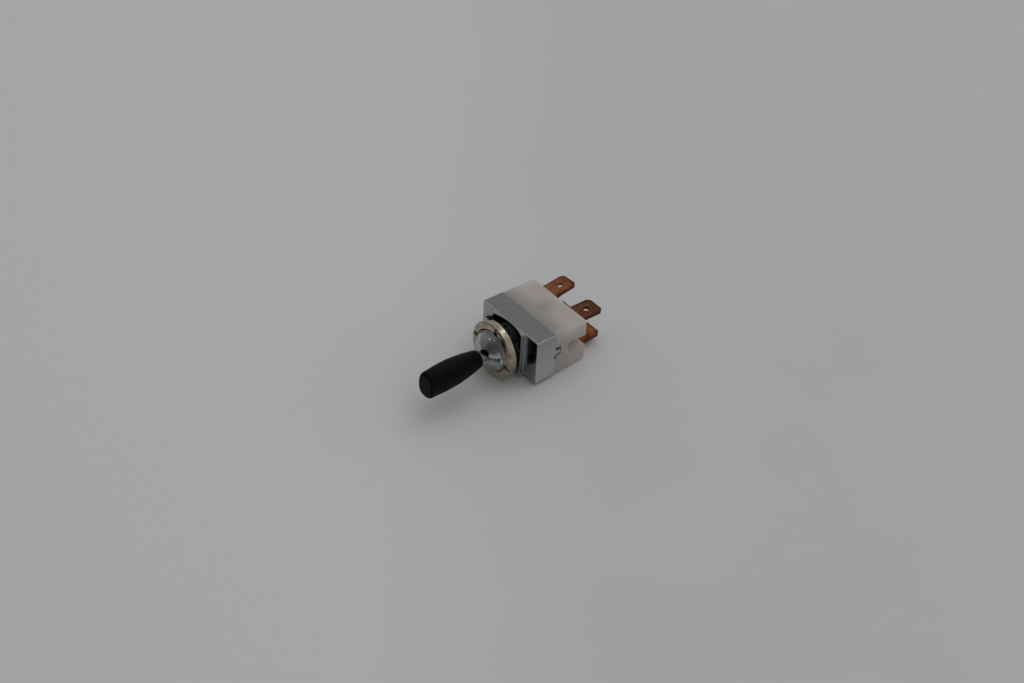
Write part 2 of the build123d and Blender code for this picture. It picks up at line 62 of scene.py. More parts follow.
def coords(nt, scale=(1, 1, 1), loc=(0, 0, 0), rot=(0, 0, 0)):
    """Object coordinates in millimetres, optionally stretched."""
    tc = nt.nodes.new("ShaderNodeTexCoord")
    mp = nt.nodes.new("ShaderNodeMapping")
    mp.inputs["Scale"].default_value = tuple(1000 * s for s in scale)
    mp.inputs["Location"].default_value = loc
    mp.inputs["Rotation"].default_value = rot
    nt.links.new(tc.outputs["Object"], mp.inputs["Vector"])
    return mp.outputs[0]


def noise(nt, vec, scale, detail=4, rough=0.55, dist=0.0):
    n = nt.nodes.new("ShaderNodeTexNoise")
    n.inputs["Scale"].default_value = scale
    n.inputs["Detail"].default_value = detail
    n.inputs["Roughness"].default_value = rough
    n.inputs["Distortion"].default_value = dist
    nt.links.new(vec, n.inputs["Vector"])
    return n.outputs["Fac"]


def ramp(nt, fac, stops):
    r = nt.nodes.new("ShaderNodeValToRGB")
    el = r.color_ramp.elements
    while len(el) > 1:
        el.remove(el[-1])
    el[0].position = stops[0][0]
    el[0].color = stops[0][1]
    for p, c in stops[1:]:
        e = el.new(p)
        e.color = c
    nt.links.new(fac, r.inputs["Fac"])
    return r.outputs["Color"]


def maprange(nt, fac, a, b, c, d):
    m = nt.nodes.new("ShaderNodeMapRange")
    for k, v in zip(("From Min", "From Max", "To Min", "To Max"), (a, b, c, d)):
        m.inputs[k].default_value = v
    nt.links.new(fac, m.inputs["Value"])
    return m.outputs["Result"]


def mixc(nt, fac, a, b, blend="MIX"):
    m = nt.nodes.new("ShaderNodeMix")
    m.data_type = "RGBA"
    m.blend_type = blend
    if isinstance(fac, (int, float)):
        m.inputs[0].default_value = fac
    else:
        nt.links.new(fac, m.inputs[0])
    for sock, v in ((m.inputs[6], a), (m.inputs[7], b)):
        if isinstance(v, tuple):
            sock.default_value = v
        else:
            nt.links.new(v, sock)
    return m.outputs[2]


def math_(nt, op, a, b=None):
    m = nt.nodes.new("ShaderNodeMath")
    m.operation = op
    for i, v in enumerate((a, b)):
        if v is None:
            continue
        if isinstance(v, (int, float)):
            m.inputs[i].default_value = v
        else:
            nt.links.new(v, m.inputs[i])
    return m.outputs[0]


def bump(nt, height, strength, dist_mm, normal=None):
    b = nt.nodes.new("ShaderNodeBump")
    b.inputs["Strength"].default_value = strength
    b.inputs["Distance"].default_value = dist_mm / 1000.0
    nt.links.new(height, b.inputs["Height"])
    if normal is not None:
        nt.links.new(normal, b.inputs["Normal"])
    return b.outputs[0]


def rgba(r, g, b):
    return (r, g, b, 1.0)


def edge_wear(nt, radius_mm=0.35, lo=0.02, hi=0.35):
    """1 near convex edges, from a bevelled normal against the true one."""
    geo = nt.nodes.new("ShaderNodeNewGeometry")
    bev = nt.nodes.new("ShaderNodeBevel")
    bev.samples = 4
    bev.inputs["Radius"].default_value = radius_mm / 1000.0
    dot = nt.nodes.new("ShaderNodeVectorMath")
    dot.operation = "DOT_PRODUCT"
    nt.links.new(bev.outputs[0], dot.inputs[0])
    nt.links.new(geo.outputs["Normal"], dot.inputs[1])
    inv = math_(nt, "SUBTRACT", 1.0, dot.outputs["Value"])
    return maprange(nt, inv, lo, hi, 0.0, 1.0)


def set_material(name, m):
    o = N[name]
    o.data.materials.clear()
    o.data.materials.append(m)


# ------------------------------------------------------------------ thread
def clean_copy(node):
    """A closed copy of a CAD node's mesh, in the scene's own coordinates."""
    src = N[node]
    me = src.data.copy()
    me.transform(src.matrix_world)
    bm = bmesh.new()
    bm.from_mesh(me)
    bmesh.ops.remove_doubles(bm, verts=bm.verts, dist=2e-6)
    bmesh.ops.recalc_face_normals(bm, faces=bm.faces)
    bm.to_mesh(me)
    bm.free()
    return me


def thread_cutter(pitch, y_front, y_rear, root_r, seg=80):
    """The groove of a right-hand thread on the neck, as one closed coil (mm)."""
    prof = [(root_r, -0.07), (root_r, 0.07), (6.05, 0.44), (6.05, -0.44)]
    steps = int((y_rear - y_front) / pitch * seg)
    bm = bmesh.new()
    rings = []
    for k in range(steps + 1):
        a = 2 * math.pi * k / seg
        y = y_rear - pitch * k / seg
        rings.append([
            bm.verts.new((r * math.cos(a) / 1000, (y + dy) / 1000, r * math.sin(a) / 1000))
            for r, dy in prof
        ])
    for a, b in zip(rings, rings[1:]):
        for i in range(4):
            j = (i + 1) % 4
            bm.faces.new((a[i], a[j], b[j], b[i]))
    bm.faces.new(rings[0][::-1])
    bm.faces.new(rings[-1])
    bmesh.ops.recalc_face_normals(bm, faces=bm.faces)
    me = bpy.data.meshes.new("cutter")
    bm.to_mesh(me)
    bm.free()
    return me


def cut_thread():
    coll = bpy.context.scene.collection
    neck = bpy.data.objects.new("neck_with_thread", clean_copy("threaded_neck"))
    tool = bpy.data.objects.new("tool", thread_cutter(1.0, -6.9, 2.7, 5.42))
    coll.objects.link(neck)
    coll.objects.link(tool)
    md = neck.modifiers.new("thread", "BOOLEAN")
    md.operation = "DIFFERENCE"
    md.solver = "EXACT"
    md.object = tool
    bpy.context.view_layer.update()
    got = bpy.data.meshes.new_from_object(neck.evaluated_get(bpy.context.evaluated_depsgraph_get()))
    neck.modifiers.clear()
    old = neck.data
    neck.data = got
    bpy.data.meshes.remove(old)
    used = tool.data
    bpy.data.objects.remove(tool)
    bpy.data.meshes.remove(used)
    got.materials.clear()
    for poly in got.polygons:
        poly.use_smooth = True
    got.set_sharp_from_angle(angle=math.radians(32))
    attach(neck, "case")
    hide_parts("threaded_neck")
    return neck


neck = cut_thread()


# ------------------------------------------------------------------ materials
def between(nt, value, lo, hi, soft):
    """1 where value lies between lo and hi, fading over soft."""
    up = maprange(nt, value, lo - soft, lo + soft, 0.0, 1.0)
    down = maprange(nt, value, hi - soft, hi + soft, 1.0, 0.0)
    return math_(nt, "MULTIPLY", up, down)


def split(nt, vec):
    x = nt.nodes.new("ShaderNodeSeparateXYZ")
    nt.links.new(vec, x.inputs[0])
    return x.outputs[0], x.outputs[1], x.outputs[2]


def scratches(nt, vec, scale, seed, width=0.035):
    """Thin, broken hairlines running one way: 1 on a line."""
    mp = nt.nodes.new("ShaderNodeMapping")
    mp.inputs["Rotation"].default_value = (seed * 0.7, seed * 1.3, seed)
    mp.inputs["Scale"].default_value = (1.0, 0.05, 1.0)
    nt.links.new(vec, mp.inputs["Vector"])
    line = noise(nt, mp.outputs[0], scale, 1, 0.3)
    d = math_(nt, "ABSOLUTE", math_(nt, "SUBTRACT", line, 0.5))
    on = maprange(nt, d, 0.0, width, 1.0, 0.0)
    keep = maprange(nt, noise(nt, vec, scale * 0.4, 2, 0.5), 0.52, 0.66, 0.0, 1.0)
    return math_(nt, "MULTIPLY", on, keep)


def metal_cast():
    m, nt, bs = mat("housing_metal")
    v = coords(nt)
    grain = noise(nt, coords(nt, (1.0, 0.12, 1.0)), 7.0, 5, 0.6)
    blotch = noise(nt, v, 0.5, 4, 0.55)
    fine = noise(nt, v, 14.0, 3, 0.6)
    pits = maprange(nt, noise(nt, v, 3.2, 2, 0.5), 0.69, 0.76, 0.0, 1.0)
    hair = math_(nt, "MAXIMUM", scratches(nt, v, 2.4, 1.0), scratches(nt, v, 1.7, 2.3))
    base = ramp(nt, blotch, [(0.3, rgba(0.268, 0.271, 0.279)), (0.7, rgba(0.302, 0.305, 0.312))])
    base = mixc(nt, maprange(nt, grain, 0.35, 0.75, 0.0, 0.25), base, rgba(0.335, 0.338, 0.345))
    base = mixc(nt, math_(nt, "MULTIPLY", pits, 0.45), base, rgba(0.17, 0.165, 0.16))
    base = mixc(nt, math_(nt, "MULTIPLY", hair, 0.25), base, rgba(0.62, 0.62, 0.63))
    x, y, z = split(nt, v)
    ax = math_(nt, "ABSOLUTE", x)
    # painted light: the two end faces are lighter than the wide ones, and lighter towards the bottom where they
    # reflect the floor
    end = maprange(nt, ax, 11.66, 11.80, 0.0, 1.0)
    low = maprange(nt, z, 5.0, -5.0, 0.0, 1.0)
    base = mixc(nt, end, base, mixc(nt, low, rgba(0.40, 0.407, 0.415), rgba(0.58, 0.59, 0.605)))
    # painted shade on the wide top face, painted light on the front face
    wide = maprange(nt, z, 6.935, 6.948, 0.0, 1.0)
    base = mixc(nt, wide, base, mixc(nt, 0.88, rgba(0, 0, 0), base))
    front_painted_light = maprange(nt, y, 1.38, 1.30, 0.0, 1.0)
    base = mixc(nt, math_(nt, "MULTIPLY", front_painted_light, 0.30), base, rgba(0.58, 0.585, 0.60))
    # edge wear and a painted edge highlight: convex edges lighter, weaker towards the rear seam
    wear = math_(nt, "MULTIPLY", edge_wear(nt, 0.28, 0.03, 0.30), maprange(nt, y, 7.2, 7.5, 1.0, 0.2))
    base = mixc(nt, math_(nt, "MULTIPLY", wear, 0.55), base, rgba(0.56, 0.56, 0.57))
    # painted highlight on the front edges, ridge crests and ridge feet
    az = math_(nt, "ABSOLUTE", z)
    brk = math_(nt, "MULTIPLY", math_(nt, "MULTIPLY", maprange(nt, az, 6.64, 6.68, 0.0, 1.0), maprange(nt, az, 6.93, 6.948, 1.0, 0.0)), maprange(nt, y, 1.60, 1.70, 1.0, 0.0))
    crest = math_(nt, "MULTIPLY", between(nt, ax, 6.17, 6.41, 0.02), maprange(nt, y, 0.05, 0.12, 1.0, 0.0))
    foot = math_(nt, "MULTIPLY", between(nt, ax, 6.46, 6.60, 0.02), maprange(nt, y, 0.95, 1.05, 0.0, 1.0))
    foot = math_(nt, "MULTIPLY", foot, maprange(nt, y, 1.30, 1.34, 1.0, 0.0))
    edge_painted_highlight = math_(nt, "MAXIMUM", brk, math_(nt, "MAXIMUM", crest, foot))
    base = mixc(nt, math_(nt, "MULTIPLY", edge_painted_highlight, 0.85), base, rgba(0.74, 0.745, 0.75))
    # painted shade: the hollow round the neck is made near black
    rad = math_(nt, "SQRT", math_(nt, "ADD", math_(nt, "MULTIPLY", x, x), math_(nt, "MULTIPLY", z, z)))
    hollow_painted_shade = math_(nt, "MULTIPLY", maprange(nt, rad, 7.6, 6.9, 0.0, 1.0), maprange(nt, ax, 6.1, 5.9, 0.0, 1.0))
    hollow_painted_shade = math_(nt, "MULTIPLY", hollow_painted_shade, maprange(nt, blotch, 0.3, 0.7, 0.95, 0.75))
    hollow_painted_shade = math_(nt, "MULTIPLY", hollow_painted_shade, maprange(nt, y, 1.20, 1.12, 0.0, 1.0))
    hollow_painted_shade = math_(nt, "MULTIPLY", hollow_painted_shade, maprange(nt, math_(nt, "ABSOLUTE", z), 6.60, 6.40, 0.0, 1.0))
    base = mixc(nt, hollow_painted_shade, base, rgba(0.012, 0.012, 0.011))
    nt.links.new(base, bs.inputs["Base Color"])
    bs.inputs["Metallic"].default_value = 1.0
    r = maprange(nt, math_(nt, "ADD", math_(nt, "MULTIPLY", grain, 0.6), math_(nt, "MULTIPLY", blotch, 0.4)), 0.3, 0.7, 0.13, 0.24)
    r = math_(nt, "ADD", r, math_(nt, "MULTIPLY", wear, 0.12))
    r = math_(nt, "ADD", r, math_(nt, "MULTIPLY", edge_painted_highlight, 0.40))
    nt.links.new(r, bs.inputs["Roughness"])
    nrm = bump(nt, grain, 0.10, 0.012)
    nrm = bump(nt, fine, 0.06, 0.006, nrm)
    nrm = bump(nt, math_(nt, "SUBTRACT", 1.0, pits), 0.35, 0.02, nrm)
    nt.links.new(nrm, bs.inputs["Normal"])
    return m


def chrome():
    m, nt, bs = mat("nose_chrome")
    v = coords(nt)
    x, y, z = split(nt, v)
    sm = noise(nt, v, 1.3, 4, 0.6)
    fine = noise(nt, v, 14.0, 2, 0.5)
    hair = scratches(nt, v, 2.2, 0.6)
    # walls of the lever slot: matt metal, made light to paint in the light that reaches into the slot
    wall = maprange(nt, math_(nt, "ABSOLUTE", z), 0.902, 0.912, 1.0, 0.0)
    # thread: rougher, with painted shade darkening the grooves
    rad = math_(nt, "SQRT", math_(nt, "ADD", math_(nt, "MULTIPLY", x, x), math_(nt, "MULTIPLY", z, z)))
    screw = math_(nt, "MULTIPLY", maprange(nt, rad, 5.34, 5.42, 0.0, 1.0), maprange(nt, y, -6.05, -5.9, 0.0, 1.0))
    groove = math_(nt, "MULTIPLY", screw, maprange(nt, rad, 5.55, 5.93, 1.0, 0.0))
    # painted shade: behind the nut the thread is made near black, with painted glints left on the crests
    thread_painted_shade = math_(nt, "MULTIPLY", maprange(nt, y, -3.3, -2.9, 0.0, 1.0), maprange(nt, rad, 5.30, 5.36, 0.0, 1.0))
    glint = math_(nt, "MULTIPLY", maprange(nt, noise(nt, v, 1.1, 4, 0.6), 0.50, 0.62, 0.0, 1.0), maprange(nt, rad, 5.82, 5.92, 0.0, 1.0))
    thread_painted_shade = math_(nt, "MULTIPLY", thread_painted_shade, maprange(nt, glint, 0.0, 1.0, 1.0, 0.72))
    base = ramp(nt, sm, [(0.35, rgba(0.42, 0.43, 0.44)), (0.7, rgba(0.54, 0.545, 0.55))])
    cloud = noise(nt, v, 0.45, 4, 0.6, 0.8)
    base = mixc(nt, maprange(nt, cloud, 0.45, 0.68, 0.0, 0.55), base, rgba(0.25, 0.262, 0.262))
    base = mixc(nt, math_(nt, "MULTIPLY", hair, 0.3), base, rgba(0.70, 0.70, 0.70))
    base = mixc(nt, wall, base, rgba(0.86, 0.89, 0.84))
    base = mixc(nt, math_(nt, "MULTIPLY", groove, 0.7), base, rgba(0.10, 0.095, 0.09))
    base = mixc(nt, thread_painted_shade, base, rgba(0.0022, 0.0021, 0.0020))
    nt.links.new(base, bs.inputs["Base Color"])
    dull = math_(nt, "MAXIMUM", thread_painted_shade, math_(nt, "MULTIPLY", wall, 0.92))
    nt.links.new(maprange(nt, dull, 0.0, 1.0, 1.0, 0.0), bs.inputs["Metallic"])
    bs.inputs["Specular IOR Level"].default_value = 0.3
    r = maprange(nt, sm, 0.35, 0.75, 0.08, 0.17)
    r = math_(nt, "ADD", r, math_(nt, "MULTIPLY", wall, 0.42))
    r = math_(nt, "ADD", r, math_(nt, "MULTIPLY", screw, 0.15))
    r = math_(nt, "ADD", r, math_(nt, "MULTIPLY", thread_painted_shade, 0.10))
    nt.links.new(r, bs.inputs["Roughness"])
    nt.links.new(bump(nt, fine, 0.06, 0.006), bs.inputs["Normal"])
    return m


def nickel():
    m, nt, bs = mat("ring_nickel")
    v = coords(nt)
    sm = noise(nt, v, 0.55, 5, 0.6, 0.4)
    fine = noise(nt, v, 9.0, 4, 0.6)
    turned = noise(nt, coords(nt, (0.25, 5.0, 0.25)), 3.0, 3, 0.5)
    hair = scratches(nt, v, 2.0, 1.9)
    base = ramp(nt, sm, [(0.32, rgba(0.25, 0.205, 0.145)), (0.5, rgba(0.42, 0.36, 0.275)), (0.70, rgba(0.54, 0.49, 0.41))])
    base = mixc(nt, math_(nt, "MULTIPLY", hair, 0.3), base, rgba(0.60, 0.56, 0.50))
    x, y, z = split(nt, v)
    # painted reflection of the floor: lighter and yellower towards the bottom
    low = maprange(nt, z, -3.5, -7.0, 0.0, 0.55)
    base = mixc(nt, low, base, rgba(0.66, 0.61, 0.42))
    wear = edge_wear(nt, 0.25, 0.04, 0.35)
    base = mixc(nt, math_(nt, "MULTIPLY", wear, 0.55), base, rgba(0.52, 0.40, 0.24))
    nt.links.new(base, bs.inputs["Base Color"])
    bs.inputs["Metallic"].default_value = 1.0
    nt.links.new(maprange(nt, fine, 0.3, 0.7, 0.14, 0.27), bs.inputs["Roughness"])
    nrm = bump(nt, fine, 0.10, 0.012)
    nrm = bump(nt, turned, 0.12, 0.008, nrm)
    nrm = bump(nt, noise(nt, v, 0.9, 3, 0.55, 0.5), 0.45, 0.06, nrm)
    nt.links.new(nrm, bs.inputs["Normal"])
    return m


def copper(name, tone, seed, plan=None):
    """Bare rolled strip gone brown, darker in patches and along its edges."""
    m, nt, bs = mat(name)
    v = coords(nt, loc=(seed * 3.1, seed * 1.7, seed))
    big = noise(nt, v, 0.42, 5, 0.62, 0.6)
    mid = noise(nt, v, 1.4, 4, 0.6, 0.3)
    streak = noise(nt, coords(nt, (3.0, 0.4, 3.0), loc=(seed, 0, seed)), 2.0, 4, 0.6)
    fine = noise(nt, v, 11.0, 3, 0.55)
    hair = math_(nt, "MAXIMUM", scratches(nt, v, 1.9, 0.3 + seed), scratches(nt, v, 2.6, 1.4 + seed))
    t = tone
    base = ramp(nt, big, [
        (0.30, rgba(0.165 * t, 0.046 * t, 0.015 * t)),
        (0.48, rgba(0.36 * t, 0.110 * t, 0.038 * t)),
        (0.72, rgba(0.52 * t, 0.180 * t, 0.070 * t)),
    ])
    base = mixc(nt, maprange(nt, mid, 0.45, 0.7, 0.0, 0.6), base, rgba(0.12 * t, 0.040 * t, 0.018 * t))
    spots = maprange(nt, noise(nt, v, 1.9, 3, 0.6), 0.52, 0.64, 0.0, 1.0)
    base = mixc(nt, math_(nt, "MULTIPLY", spots, 0.55), base, rgba(0.11 * t, 0.034 * t, 0.013 * t))
    bright = maprange(nt, noise(nt, coords(nt, loc=(seed, 4.0, 1.0)), 1.6, 3, 0.6), 0.56, 0.68, 0.0, 1.0)
    base = mixc(nt, math_(nt, "MULTIPLY", bright, 0.55), base, rgba(0.66 * t, 0.25 * t, 0.105 * t))
    base = mixc(nt, maprange(nt, streak, 0.45, 0.8, 0.0, 0.45), base, rgba(0.20 * t, 0.075 * t, 0.036 * t))
    base = mixc(nt, math_(nt, "MULTIPLY", hair, 0.45), base, rgba(0.60 * t, 0.30 * t, 0.19 * t))
    wear = edge_wear(nt, 0.34, 0.02, 0.16)
    if plan:
        # dark along the sides, corners and end, and darker towards the tip
        xc, half, tip, cut = plan
        x, y, z = split(nt, coords(nt))
        dx = math_(nt, "ABSOLUTE", math_(nt, "SUBTRACT", x, xc))
        side = math_(nt, "SUBTRACT", dx, half)
        end = math_(nt, "SUBTRACT", y, tip)
        corner = math_(nt, "MULTIPLY", math_(nt, "SUBTRACT", math_(nt, "ADD", dx, y), half + tip - cut), 0.7071)
        near = math_(nt, "MAXIMUM", math_(nt, "MAXIMUM", side, end), corner)
        rim = maprange(nt, near, -0.70, -0.28, 0.0, 1.0)
        rim = math_(nt, "MULTIPLY", rim, maprange(nt, mid, 0.35, 0.6, 0.65, 1.0))
        base = mixc(nt, maprange(nt, y, tip - 3.0, tip, 0.0, 0.30), base, rgba(0.075 * t, 0.024 * t, 0.010 * t))
        wear = math_(nt, "MAXIMUM", wear, rim)
    base = mixc(nt, math_(nt, "MULTIPLY", wear, 0.85), base, rgba(0.070 * t, 0.024 * t, 0.012 * t))
    nt.links.new(base, bs.inputs["Base Color"])
    bs.inputs["Metallic"].default_value = 0.85
    nt.links.new(maprange(nt, mid, 0.3, 0.7, 0.30, 0.52), bs.inputs["Roughness"])
    nrm = bump(nt, streak, 0.2, 0.015)
    nrm = bump(nt, fine, 0.1, 0.008, nrm)
    nt.links.new(nrm, bs.inputs["Normal"])
    return m


def nylon():
    m, nt, bs = mat("base_nylon")
    v = coords(nt)
    x, y, z = split(nt, v)
    ax = math_(nt, "ABSOLUTE", x)
    big = noise(nt, v, 0.16, 3, 0.5)
    cloud = noise(nt, v, 0.7, 4, 0.55, 0.3)
    fine = noise(nt, v, 6.0, 3, 0.5)
    speck = maprange(nt, noise(nt, v, 2.6, 2, 0.5), 0.70, 0.76, 0.0, 1.0)
    base = ramp(nt, big, [(0.35, rgba(0.64, 0.575, 0.535)), (0.65, rgba(0.67, 0.635, 0.60))])
    # pinker where copper lies close under the skin
    over = math_(nt, "MULTIPLY", between(nt, ax, 2.9, 9.0, 1.3), maprange(nt, z, 6.0, 6.8, 0.0, 1.0))
    base = mixc(nt, math_(nt, "MULTIPLY", over, 0.8), base, rgba(0.63, 0.525, 0.485))
    base = mixc(nt, maprange(nt, cloud, 0.4, 0.7, 0.0, 0.25), base, rgba(0.57, 0.54, 0.50))
    # thin wall over the dark works: shaded towards the housing and the middle
    top = maprange(nt, z, 6.3, 6.9, 0.66, 1.0)
    near = math_(nt, "MULTIPLY", maprange(nt, y, 7.6, 13.2, 1.0, 0.0), top)
    near = math_(nt, "MULTIPLY", near, maprange(nt, ax, 9.0, 12.0, 1.0, 0.72))
    mid = math_(nt, "MULTIPLY", between(nt, x, -2.2, 2.2, 2.6), between(nt, y, 10.0, 15.5, 2.4))
    mid = math_(nt, "MULTIPLY", mid, maprange(nt, z, 6.3, 6.9, 0.0, 1.0))
    base = mixc(nt, math_(nt, "MULTIPLY", near, 0.78), base, rgba(0.24, 0.245, 0.235))
    base = mixc(nt, math_(nt, "MULTIPLY", mid, 0.82), base, rgba(0.315, 0.285, 0.215))
    # painted shade: the end faces are greyer below the lit upper edge
    side = math_(nt, "MULTIPLY", maprange(nt, ax, 11.60, 11.74, 0.0, 1.0), maprange(nt, z, 5.6, 3.0, 0.0, 1.0))
    side = math_(nt, "MULTIPLY", side, maprange(nt, y, 13.5, 17.5, 1.0, 0.72))
    base = mixc(nt, math_(nt, "MULTIPLY", side, 0.62), base, rgba(0.335, 0.325, 0.315))
    # inside the side notches: painted shade at the front end, fading to painted warm light through the moulding
    # further back
    notch = math_(nt, "MULTIPLY", math_(nt, "MULTIPLY", maprange(nt, ax, 11.4, 11.7, 1.0, 0.0), maprange(nt, y, 11.9, 12.2, 0.0, 1.0)), between(nt, z, -0.99, 2.45, 0.05))
    notch_light_and_shade = mixc(nt, maprange(nt, y, 12.3, 15.0, 0.0, 1.0), rgba(0.46, 0.41, 0.38), rgba(0.80, 0.64, 0.58))
    base = mixc(nt, math_(nt, "MULTIPLY", notch, 0.85), base, notch_light_and_shade)
    # pocket and dimple round the clinch tab: deep in shade
    pocket = math_(nt, "MULTIPLY", math_(nt, "MULTIPLY", maprange(nt, ax, 11.62, 11.76, 1.0, 0.0), between(nt, y, 7.0, 9.78, 0.02)), between(nt, z, -1.35, 2.62, 0.02))
    shade = mixc(nt, maprange(nt, z, -0.6, 0.8, 0.0, 1.0), rgba(0.30, 0.30, 0.29), rgba(0.60, 0.60, 0.58))
    base = mixc(nt, math_(nt, "MULTIPLY", pocket, 0.75), base, shade)
    base = mixc(nt, math_(nt, "MULTIPLY", speck, 0.30), base, rgba(0.36, 0.31, 0.26))
    nt.links.new(base, bs.inputs["Base Color"])
    nt.links.new(maprange(nt, fine, 0.3, 0.7, 0.34, 0.48), bs.inputs["Roughness"])
    bs.inputs["Subsurface Weight"].default_value = 0.35
    bs.inputs["Subsurface Radius"].default_value = (1.0, 0.75, 0.6)
    bs.inputs["Subsurface Scale"].default_value = 0.0018
    nrm = bump(nt, fine, 0.08, 0.010)
    nrm = bump(nt, cloud, 0.10, 0.03, nrm)
    nt.links.new(nrm, bs.inputs["Normal"])
    return m


def black_plastic():
    m, nt, bs = mat("lever_black")
    v = coords(nt)
    fine = noise(nt, v, 9.0, 4, 0.6)
    big = noise(nt, v, 0.5, 3, 0.5)
    hair = scratches(nt, v, 1.6, 0.9, 0.03)
    dust = maprange(nt, noise(nt, v, 7.0, 1, 0.5), 0.735, 0.77, 0.0, 1.0)
    base = ramp(nt, big, [(0.3, rgba(0.0016, 0.0016, 0.0016)), (0.7, rgba(0.0028, 0.0027, 0.0026))])
    base = mixc(nt, math_(nt, "MULTIPLY", dust, 0.5), base, rgba(0.05, 0.048, 0.044))
    base = mixc(nt, math_(nt, "MULTIPLY", hair, 0.25), base, rgba(0.02, 0.02, 0.02))
    nt.links.new(base, bs.inputs["Base Color"])
    bs.inputs["Specular IOR Level"].default_value = 0.08
    nt.links.new(maprange(nt, fine, 0.3, 0.7, 0.40, 0.52), bs.inputs["Roughness"])
    nrm = bump(nt, fine, 0.12, 0.010)
    nt.links.new(nrm, bs.inputs["Normal"])
    return m


def washer_black():
    m, nt, bs = mat("washer_black")
    v = coords(nt)
    fine = noise(nt, v, 5.0, 4, 0.6)
    base = ramp(nt, fine, [(0.3, rgba(0.0016, 0.0016, 0.0016)), (0.7, rgba(0.0030, 0.0029, 0.0028))])
    wear = edge_wear(nt, 0.15, 0.05, 0.35)
    base = mixc(nt, math_(nt, "MULTIPLY", wear, 0.15), base, rgba(0.03, 0.029, 0.027))
    nt.links.new(base, bs.inputs["Base Color"])
    bs.inputs["Specular IOR Level"].default_value = 0.05
    nt.links.new(maprange(nt, fine, 0.3, 0.7, 0.28, 0.42), bs.inputs["Roughness"])
    nt.links.new(bump(nt, fine, 0.08, 0.01), bs.inputs["Normal"])
    return m


def plain(name, c0, c1, metal, r0, r1, scale=3.0):
    m, nt, bs = mat(name)
    v = coords(nt)
    n = noise(nt, v, scale, 4, 0.6)
    fine = noise(nt, v, scale * 4, 3, 0.6)
    hair = scratches(nt, v, 2.0, 0.8)
    c = ramp(nt, n, [(0.3, rgba(*c0)), (0.7, rgba(*c1))])
    c = mixc(nt, math_(nt, "MULTIPLY", hair, 0.2), c, rgba(*(min(1.0, 1.3 * k) for k in c1)))
    nt.links.new(c, bs.inputs["Base Color"])
    bs.inputs["Metallic"].default_value = metal
    nt.links.new(maprange(nt, n, 0.3, 0.7, r0, r1), bs.inputs["Roughness"])
    nt.links.new(bump(nt, fine, 0.1, 0.01), bs.inputs["Normal"])
    return m


M_cast, M_chrome, M_nickel = metal_cast(), chrome(), nickel()
M_copper = copper("bridge_copper", 0.9, 0.0)


def plan_of(node):
    """Blade outline in plan: centre X, half width, tip Y, corner cut."""
    lo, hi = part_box(node)
    return ((lo[0] + hi[0]) * 500.0, 3.15, hi[1] * 1000.0, 1.5)


# the lower left blade's low tone is painted shade, as it lies in shadow; the others differ in tone
M_blades = {
    "upper_left_terminal": copper("blade_copper_1", 0.98, 1.0, plan_of("upper_left_terminal")),
    "upper_right_terminal": copper("blade_copper_2", 0.52, 2.0, plan_of("upper_right_terminal")),
    "lower_right_terminal": copper("blade_copper_3", 1.00, 3.0, plan_of("lower_right_terminal")),
    "lower_left_terminal": copper("blade_copper_4", 0.25, 4.0, plan_of("lower_left_terminal")),
}
M_nylon, M_black, M_washer = nylon(), black_plastic(), washer_black()
def pin():
    """Steel pin, its ends painted black as shade behind the nut."""
    m, nt, bs = mat("pivot_steel")
    v = coords(nt)
    x, y, z = split(nt, v)
    n = noise(nt, v, 3.0, 4, 0.6)
    end = maprange(nt, math_(nt, "ABSOLUTE", z), 4.6, 4.9, 0.0, 1.0)
    base = ramp(nt, n, [(0.3, rgba(0.42, 0.42, 0.43)), (0.7, rgba(0.55, 0.55, 0.56))])
    base = mixc(nt, end, base, rgba(0.005, 0.005, 0.005))
    nt.links.new(base, bs.inputs["Base Color"])
    nt.links.new(maprange(nt, end, 0.0, 1.0, 1.0, 0.0), bs.inputs["Metallic"])
    bs.inputs["Specular IOR Level"].default_value = 0.3
    nt.links.new(maprange(nt, n, 0.3, 0.7, 0.22, 0.36), bs.inputs["Roughness"])
    nt.links.new(bump(nt, noise(nt, v, 12.0, 3, 0.6), 0.1, 0.01), bs.inputs["Normal"])
    return m


M_pin = pin()
M_steel = plain("pin_steel", (0.42, 0.42, 0.43), (0.55, 0.55, 0.56), 1.0, 0.22, 0.35)
M_shank = plain("shank_metal", (0.34, 0.345, 0.355), (0.50, 0.505, 0.515), 1.0, 0.3, 0.45)
M_cam = plain("cam_plastic", (0.55, 0.52, 0.46), (0.62, 0.60, 0.54), 0.0, 0.4, 0.5)
M_slide = plain("slide_plastic", (0.05, 0.025, 0.018), (0.08, 0.04, 0.028), 0.0, 0.35, 0.5)
M_silver = plain("contact_silver", (0.60, 0.60, 0.58), (0.75, 0.75, 0.73), 1.0, 0.18, 0.3)
M_fibre = plain("card_fibre", (0.16, 0.07, 0.035), (0.22, 0.10, 0.05), 0.0, 0.6, 0.8)

for n, m in {
    "housing": M_cast, "threaded_neck": M_chrome, "ring_nut": M_nickel, "panel_washer": M_washer,
    "pivot_pin": M_pin, "lever_shank": M_shank, "lever_grip": M_black,
    "detent_plunger": M_steel, "detent_spring": M_steel, "detent_cam": M_cam,
    "contact_slide": M_slide, "upper_bridge": M_copper, "lower_bridge": M_copper,
    "upper_bridge_contacts": M_silver, "lower_bridge_contacts": M_silver,
    "upper_bridge_spring": M_steel, "lower_bridge_spring": M_steel,
    **M_blades,
    "fixed_contacts": M_silver, "terminal_base": M_nylon, "insulating_card": M_fibre,
}.items():
    set_material(n, m)
neck.data.materials.append(M_chrome)

